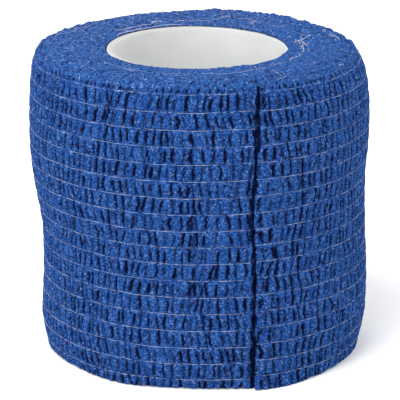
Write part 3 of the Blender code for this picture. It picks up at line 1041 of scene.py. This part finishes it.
def make_core(sizes, colours):
    """The core tube's wall with its lips rounded, spun round the axis and leant over."""
    outer = sizes.core_radius
    inner = outer - sizes.core_wall
    top = CORE_LEAN["length"] * MM
    bm = bmesh.new()
    corners = [(outer, 0.0), (outer, top), (inner, top), (inner, 0.0)]
    bm.faces.new([bm.verts.new((radius, 0.0, height)) for radius, height in corners])
    lips = [edge for edge in bm.edges if abs(edge.verts[0].co.x - edge.verts[1].co.x) > 1e-6]
    bmesh.ops.bevel(
        bm,
        geom=list({vert for edge in lips for vert in edge.verts}),
        offset=CORE_LIP_ROUNDING * MM,
        segments=5,
        profile=0.5,
        affect="VERTICES",
        material=-1,
    )
    outline = list(bm.edges)
    bmesh.ops.delete(bm, geom=list(bm.faces), context="FACES_ONLY")
    long_edges = [edge for edge in outline if edge.is_valid and edge.calc_length() > 0.01]
    bmesh.ops.subdivide_edges(bm, edges=long_edges, cuts=7)
    bmesh.ops.spin(
        bm,
        geom=list(bm.verts) + list(bm.edges),
        axis=(0.0, 0.0, 1.0),
        cent=(0.0, 0.0, 0.0),
        angle=2.0 * math.pi,
        steps=CORE_COLUMNS,
        use_merge=True,
    )
    bmesh.ops.remove_doubles(bm, verts=bm.verts, dist=0.001 * MM)
    bmesh.ops.recalc_face_normals(bm, faces=bm.faces)
    for below in CORE_RINGS:
        geometry = list(bm.verts) + list(bm.edges) + list(bm.faces)
        cut = (0.0, 0.0, top - below * MM)
        bmesh.ops.bisect_plane(bm, geom=geometry, plane_co=cut, plane_no=(0.0, 0.0, 1.0))
    rim = bm.verts.layers.float.new("rim")
    # Painted shade on the wall, growing deeper down and fading towards the bright side.
    painted_deep_shade = bm.verts.layers.float.new("painted_deep_shade")
    for vert in bm.verts:
        below = (top - vert.co.z) / MM
        vert[rim] = min(1.0, max(0.0, 1.0 - (below - 0.05) / 0.20))
        bright = float(facing(math.atan2(vert.co.x, -vert.co.y), CORE_SHADE["bright_side"])) ** 2
        depth = min(1.0, max(0.0, (below - CORE_SHADE["from"]) / CORE_SHADE["run"]))
        shade = CORE_SHADE["least"] + (1.0 - CORE_SHADE["least"]) * depth
        vert[painted_deep_shade] = shade * (1.0 - bright)
    azimuth = math.radians(CORE_LEAN["azimuth"])
    hinge = Vector((math.cos(azimuth), math.sin(azimuth), 0.0))
    lean = Matrix.Rotation(math.radians(CORE_LEAN["angle"]), 4, hinge)
    raised = Matrix.Translation((0.0, 0.0, CORE_LEAN["top"] * MM))
    lowered = Matrix.Translation((0.0, 0.0, -top))
    bmesh.ops.transform(bm, matrix=raised @ lean @ lowered, verts=bm.verts)
    return finish_piece("core_tube_wall", bm, white_plastic(colours))


def running_mean(values):
    return np.convolve(np.pad(values, 2, "edge"), np.ones(5) / 5.0, "valid")


def make_threads(sizes, colours, creases):
    """The elastic threads, each one turn long, lying on the ridges and dipping in the creases."""
    winding = Winding(sizes)
    rng = np.random.default_rng(61)
    paths = []
    shades = []
    radii = []
    for row in range(THREAD_ROWS):
        cut = seam_edge(TOP_THREAD_HEIGHT - row * THREAD_PITCH)
        start = (cut + rng.uniform(*THREAD_START)) / winding.around
        end = 1.0 + (cut - rng.uniform(*THREAD_END)) / winding.around
        turn = np.linspace(start, end, THREAD_POINTS)
        along = turn * winding.around
        from_start = (turn - start) * winding.around
        sway = THREAD_SWAY * line_noise(along / 2.2 + 9.0, 62, row * 3.0)
        height = winding.thread_height(turn, row) + sway
        relief, dark = cloth_relief(winding, creases, turn, height)
        ridge = np.maximum(np.maximum(relief, np.roll(relief, 1)), np.roll(relief, -1))
        lift = np.maximum(relief, 0.45 * relief + 0.55 * running_mean(ridge)) + 0.025
        radius = winding.outer_radius(turn, height) + lift + 0.025
        radius = radius - END_THINNING["hollow"] * ease(1.0 - from_start / END_THINNING["run"]) ** 2
        before_seam = (1.0 - turn) * winding.around + cut
        radius = radius + UNDER_SWELL["reach"] * ease(1.0 - before_seam / UNDER_SWELL["run"])
        if row == THREAD_ROWS - 1:
            hook = ease(1.0 - from_start / LAST_THREAD_HOOK["run"])
            height = height + LAST_THREAD_HOOK["rise"] * hook
            radius = radius + LAST_THREAD_HOOK["out"] * hook
        paths.append(winding.place(turn, radius, height))
        # Each point's shade: painted shade from the creases under it, and random dull stretches.
        dull = np.clip(line_noise(along / 0.75 + 70.0, 64, row * 7.0), 0.0, 1.0)
        shades.append(np.clip(0.9 * dark + 0.50 * dull, 0.0, 1.0))
        radii.append(0.85 + 0.40 * line_noise(along / 0.9 + 5.0, 63, row * 5.0))
    bm = tubes_from_paths("elastic_threads", paths, sizes.thread_radius, radii)
    shade_strands(bm, paths, shades)
    return finish_piece("elastic_threads", bm, pale_thread(colours))


def fine_path(points):
    """More points along a bent line, by even steps from corner to corner, with its corners eased."""
    given = np.array(points, float)
    spots = np.linspace(0.0, len(given) - 1.0, 8 * len(given))
    column = [np.interp(spots, np.arange(len(given)), given[:, k]) for k in range(given.shape[1])]
    line = np.stack(column, axis=1)
    for _ in range(2):
        line[1:-1] = 0.25 * (line[:-2] + 2.0 * line[1:-1] + line[2:])
    return line


def make_stray_fibres(sizes):
    """The loose ends of elastic on the top end."""
    winding = Winding(sizes)
    rng = np.random.default_rng(71)
    paths = []
    radii = []
    shades = []
    for stand_off, thick, faint, *points in STRAY_FIBRES:
        line = fine_path(points)
        azimuth = np.radians(line[:, 0])
        radius = line[:, 1]
        wave = rng.normal(0.0, 0.05, len(line))
        surface = top_surface(winding, azimuth, radius)
        height = np.maximum(running_mean(surface), surface - 0.05) + stand_off * (0.7 + 0.6 * rng.uniform())
        x = radius * np.sin(azimuth)
        y = -radius * np.cos(azimuth)
        paths.append(np.stack([x, y + wave, height], axis=1) * MM)
        radii.append(thick * rng.uniform(0.8, 1.15, len(line)))
        shades.append(np.clip(faint + rng.normal(0.0, 0.15, len(line)), 0.0, 1.0))
    bm = tubes_from_paths("stray_fibres", paths, sizes.thread_radius, radii)
    shade_strands(bm, paths, shades)
    return finish_piece("stray_fibres", bm, loose_elastic())


def make_fuzz(sizes, colours, creases):
    """Short blue fibres that stand out of the cloth, most of them on its rolled top edge."""
    winding = Winding(sizes)
    rng = np.random.default_rng(81)
    number = sizes.fuzz_count
    turn = rng.uniform(0.0, 1.0, number)
    place = rng.uniform(0.0, 1.0, number)
    on_edge = rng.uniform(*FUZZ["edge_heights"], number)
    on_face = rng.uniform(*FUZZ["face_heights"], number)
    height = np.where(place < FUZZ["on_edge"], on_edge, on_face)
    risen = (height - ROLLED_EDGE["start"]) / ROLLED_EDGE["rise"]
    rolled = ROLLED_EDGE["inward"] * (1.0 - np.sqrt(np.clip(1.0 - risen**2, 0.0, 1.0)))
    inward = np.where(height > TOP_THREAD_HEIGHT, rolled, 0.0)
    relief, _ = cloth_relief(winding, creases, turn, height)
    radius = winding.outer_radius(turn, height) + relief - inward - 0.05
    top = place > 1.0 - FUZZ["on_top"]
    azimuth = winding.azimuth(turn)
    inner = rng.uniform(*FUZZ["top_radii"], number)
    radius = np.where(top, inner, radius)
    height = np.where(top, top_surface(winding, azimuth, inner) - 0.06, height)
    root = winding.place(turn, radius, height)
    outward = np.stack([np.sin(azimuth), -np.cos(azimuth), np.zeros(number)], axis=1)
    upness = np.where(top, 1.0, ease((height - 47.5) / 2.0))
    lean = outward * (1.0 - 0.8 * upness)[:, None] + np.array([0.0, 0.0, 1.0]) * upness[:, None]
    aim = lean + rng.normal(0.0, FUZZ["spread"], (number, 3))
    bend = rng.normal(0.0, FUZZ["bend"], (number, 3))
    run = rng.uniform(*FUZZ["length"], number) * MM
    aim = aim / np.linalg.norm(aim, axis=1)[:, None]
    middle = root + aim * run[:, None] * 0.55
    tip = middle + (aim + bend) * run[:, None] * 0.45
    paths = np.stack([root, middle, tip], axis=1)
    radii = [np.array(FUZZ["taper"])] * number
    bm = tubes_from_paths("cloth_fuzz", paths, FUZZ["radius"] * MM, radii)
    return finish_piece("cloth_fuzz", bm, fuzz_fibre(colours))


# ---------------------------------------------------------------- the stage


def make_floor():
    bm = bmesh.new()
    bmesh.ops.create_grid(bm, x_segments=4, y_segments=4, size=4.0)
    mesh = bpy.data.meshes.new("floor")
    bm.to_mesh(mesh)
    bm.free()
    nodes = Nodes("floor_paper", 0.9)
    surface = {
        "Base Color": nodes.ramp(nodes.noise(3.0, 1.0), [(0.3, FLOOR_TINTS[0]), (0.7, FLOOR_TINTS[1])]),
        "Specular IOR Level": 0.0,
        "Emission Color": WHITE,
        "Emission Strength": FLOOR_GLOW,
    }
    nodes.feed(nodes.shader, surface)
    mesh.materials.append(nodes.material)
    floor = bpy.data.objects.new("floor", mesh)
    bpy.context.scene.collection.objects.link(floor)


def set_sky(scene, stage):
    world = bpy.data.worlds.new("studio")
    world.use_nodes = True
    sky = world.node_tree.nodes["Background"]
    sky.inputs["Color"].default_value = WHITE
    sky.inputs["Strength"].default_value = stage.sky
    scene.world = world


def make_lamp(name, light, power):
    lamp = bpy.data.lights.new(name, "AREA")
    lamp.shape = "SQUARE"
    lamp.size = light["size"]
    lamp.energy = power
    holder = bpy.data.objects.new(name, lamp)
    holder.location = light["place"]
    aim = Vector(LIGHT_TARGET) - Vector(light["place"])
    holder.rotation_euler = aim.to_track_quat("-Z", "Y").to_euler()
    bpy.context.scene.collection.objects.link(holder)


def make_camera(scene, stage):
    lens = bpy.data.cameras.new("camera")
    lens.sensor_width = 36.0
    lens.lens = stage.lens
    camera = bpy.data.objects.new("camera", lens)
    camera.location = (0.0, -stage.camera_distance, stage.camera_height)
    camera.rotation_euler = (math.pi / 2.0 - stage.camera_tilt, 0.0, 0.0)
    scene.collection.objects.link(camera)
    scene.camera = camera


# ---------------------------------------------------------------- operators


def shared_creases(scene):
    return Creases(Winding(scene.bandage_sizes), scene.bandage_sizes.creases_per_turn, 5)


class BANDAGE_OT_last_turn(bpy.types.Operator):
    """Make the last turn of the cloth, in two pieces that meet at the back"""

    bl_idname = "bandage.last_turn"
    bl_label = "Last turn"

    def execute(self, context):
        scene = context.scene
        creases = shared_creases(scene)
        spans = {
            "last_turn_right": (0.0, SPLIT_TURN),
            "last_turn_left": (SPLIT_TURN, 1.0 + TUCK),
        }
        for name, (start, end) in spans.items():
            piece = make_sheet_piece(
                name, start, end, scene.bandage_sizes, scene.bandage_colours, creases
            )
            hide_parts("loose_end")
        return {"FINISHED"}


class BANDAGE_OT_wound_body(bpy.types.Operator):
    """Make the wound body under the last turn, with the edges of its turns on both ends"""

    bl_idname = "bandage.wound_body"
    bl_label = "Wound body"

    def execute(self, context):
        scene = context.scene
        piece = make_body(scene.bandage_sizes, scene.bandage_colours)
        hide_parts("bandage_roll")
        return {"FINISHED"}


class BANDAGE_OT_core_tube(bpy.types.Operator):
    """Make the plastic core tube"""

    bl_idname = "bandage.core_tube"
    bl_label = "Core tube"

    def execute(self, context):
        scene = context.scene
        piece = make_core(scene.bandage_sizes, scene.bandage_colours)
        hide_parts("core_tube")
        return {"FINISHED"}


class BANDAGE_OT_elastic_threads(bpy.types.Operator):
    """Lay the elastic threads round the last turn"""

    bl_idname = "bandage.elastic_threads"
    bl_label = "Elastic threads"

    def execute(self, context):
        scene = context.scene
        make_threads(scene.bandage_sizes, scene.bandage_colours, shared_creases(scene))
        return {"FINISHED"}


class BANDAGE_OT_loose_fibres(bpy.types.Operator):
    """Add the stray ends of elastic on the top end, and the cloth's short fuzz"""

    bl_idname = "bandage.loose_fibres"
    bl_label = "Loose fibres"

    def execute(self, context):
        scene = context.scene
        make_stray_fibres(scene.bandage_sizes)
        make_fuzz(scene.bandage_sizes, scene.bandage_colours, shared_creases(scene))
        return {"FINISHED"}


class BANDAGE_OT_declare_cloth(bpy.types.Operator):
    """An empty step: it makes and changes nothing"""

    bl_idname = "bandage.declare_cloth"
    bl_label = "Cloth sizes"

    def execute(self, context):
        return {"FINISHED"}


class BANDAGE_OT_stage(bpy.types.Operator):
    """Set the pale floor, the soft studio light and the camera"""

    bl_idname = "bandage.stage"
    bl_label = "Stage"

    def execute(self, context):
        scene = context.scene
        stage = scene.bandage_stage
        make_floor()
        set_sky(scene, stage)
        make_lamp("key_light", KEY_LIGHT, stage.key_power)
        make_lamp("side_light", SIDE_LIGHT, stage.side_power)
        make_lamp("edge_light", EDGE_LIGHT, stage.edge_power)
        make_camera(scene, stage)
        scene.view_settings.view_transform = "Standard"
        return {"FINISHED"}


class VIEW3D_PT_bandage_roll(bpy.types.Panel):
    """The sizes, the colours and the steps of the bandage roll"""

    bl_label = "Bandage roll"
    bl_idname = "VIEW3D_PT_bandage_roll"
    bl_space_type = "VIEW_3D"
    bl_region_type = "UI"
    bl_category = "Bandage roll"

    def draw(self, context):
        layout = self.layout
        for group in GROUPS:
            settings = getattr(context.scene, group)
            box = layout.box()
            for name in settings.bl_rna.properties.keys():
                if name not in ("rna_type", "name"):
                    box.prop(settings, name)
        for step in STEPS:
            layout.operator(step.bl_idname)


STEPS = (
    BANDAGE_OT_last_turn,
    BANDAGE_OT_wound_body,
    BANDAGE_OT_core_tube,
    BANDAGE_OT_elastic_threads,
    BANDAGE_OT_loose_fibres,
    BANDAGE_OT_declare_cloth,
    BANDAGE_OT_stage,
)
GROUPS = {
    "bandage_sizes": BandageSizes,
    "bandage_colours": BandageColours,
    "bandage_stage": BandageStage,
}


def register():
    for each in (*GROUPS.values(), *STEPS, VIEW3D_PT_bandage_roll):
        bpy.utils.register_class(each)
    for name, group in GROUPS.items():
        setattr(bpy.types.Scene, name, bpy.props.PointerProperty(type=group))


def unregister():
    for name in GROUPS:
        delattr(bpy.types.Scene, name)
    for each in reversed((*GROUPS.values(), *STEPS, VIEW3D_PT_bandage_roll)):
        bpy.utils.unregister_class(each)


def main():
    register()
    bpy.ops.bandage.last_turn()
    bpy.ops.bandage.wound_body()
    bpy.ops.bandage.core_tube()
    bpy.ops.bandage.elastic_threads()
    bpy.ops.bandage.loose_fibres()
    bpy.ops.bandage.declare_cloth()
    bpy.ops.bandage.stage()


if __name__ == "__main__":
    main()
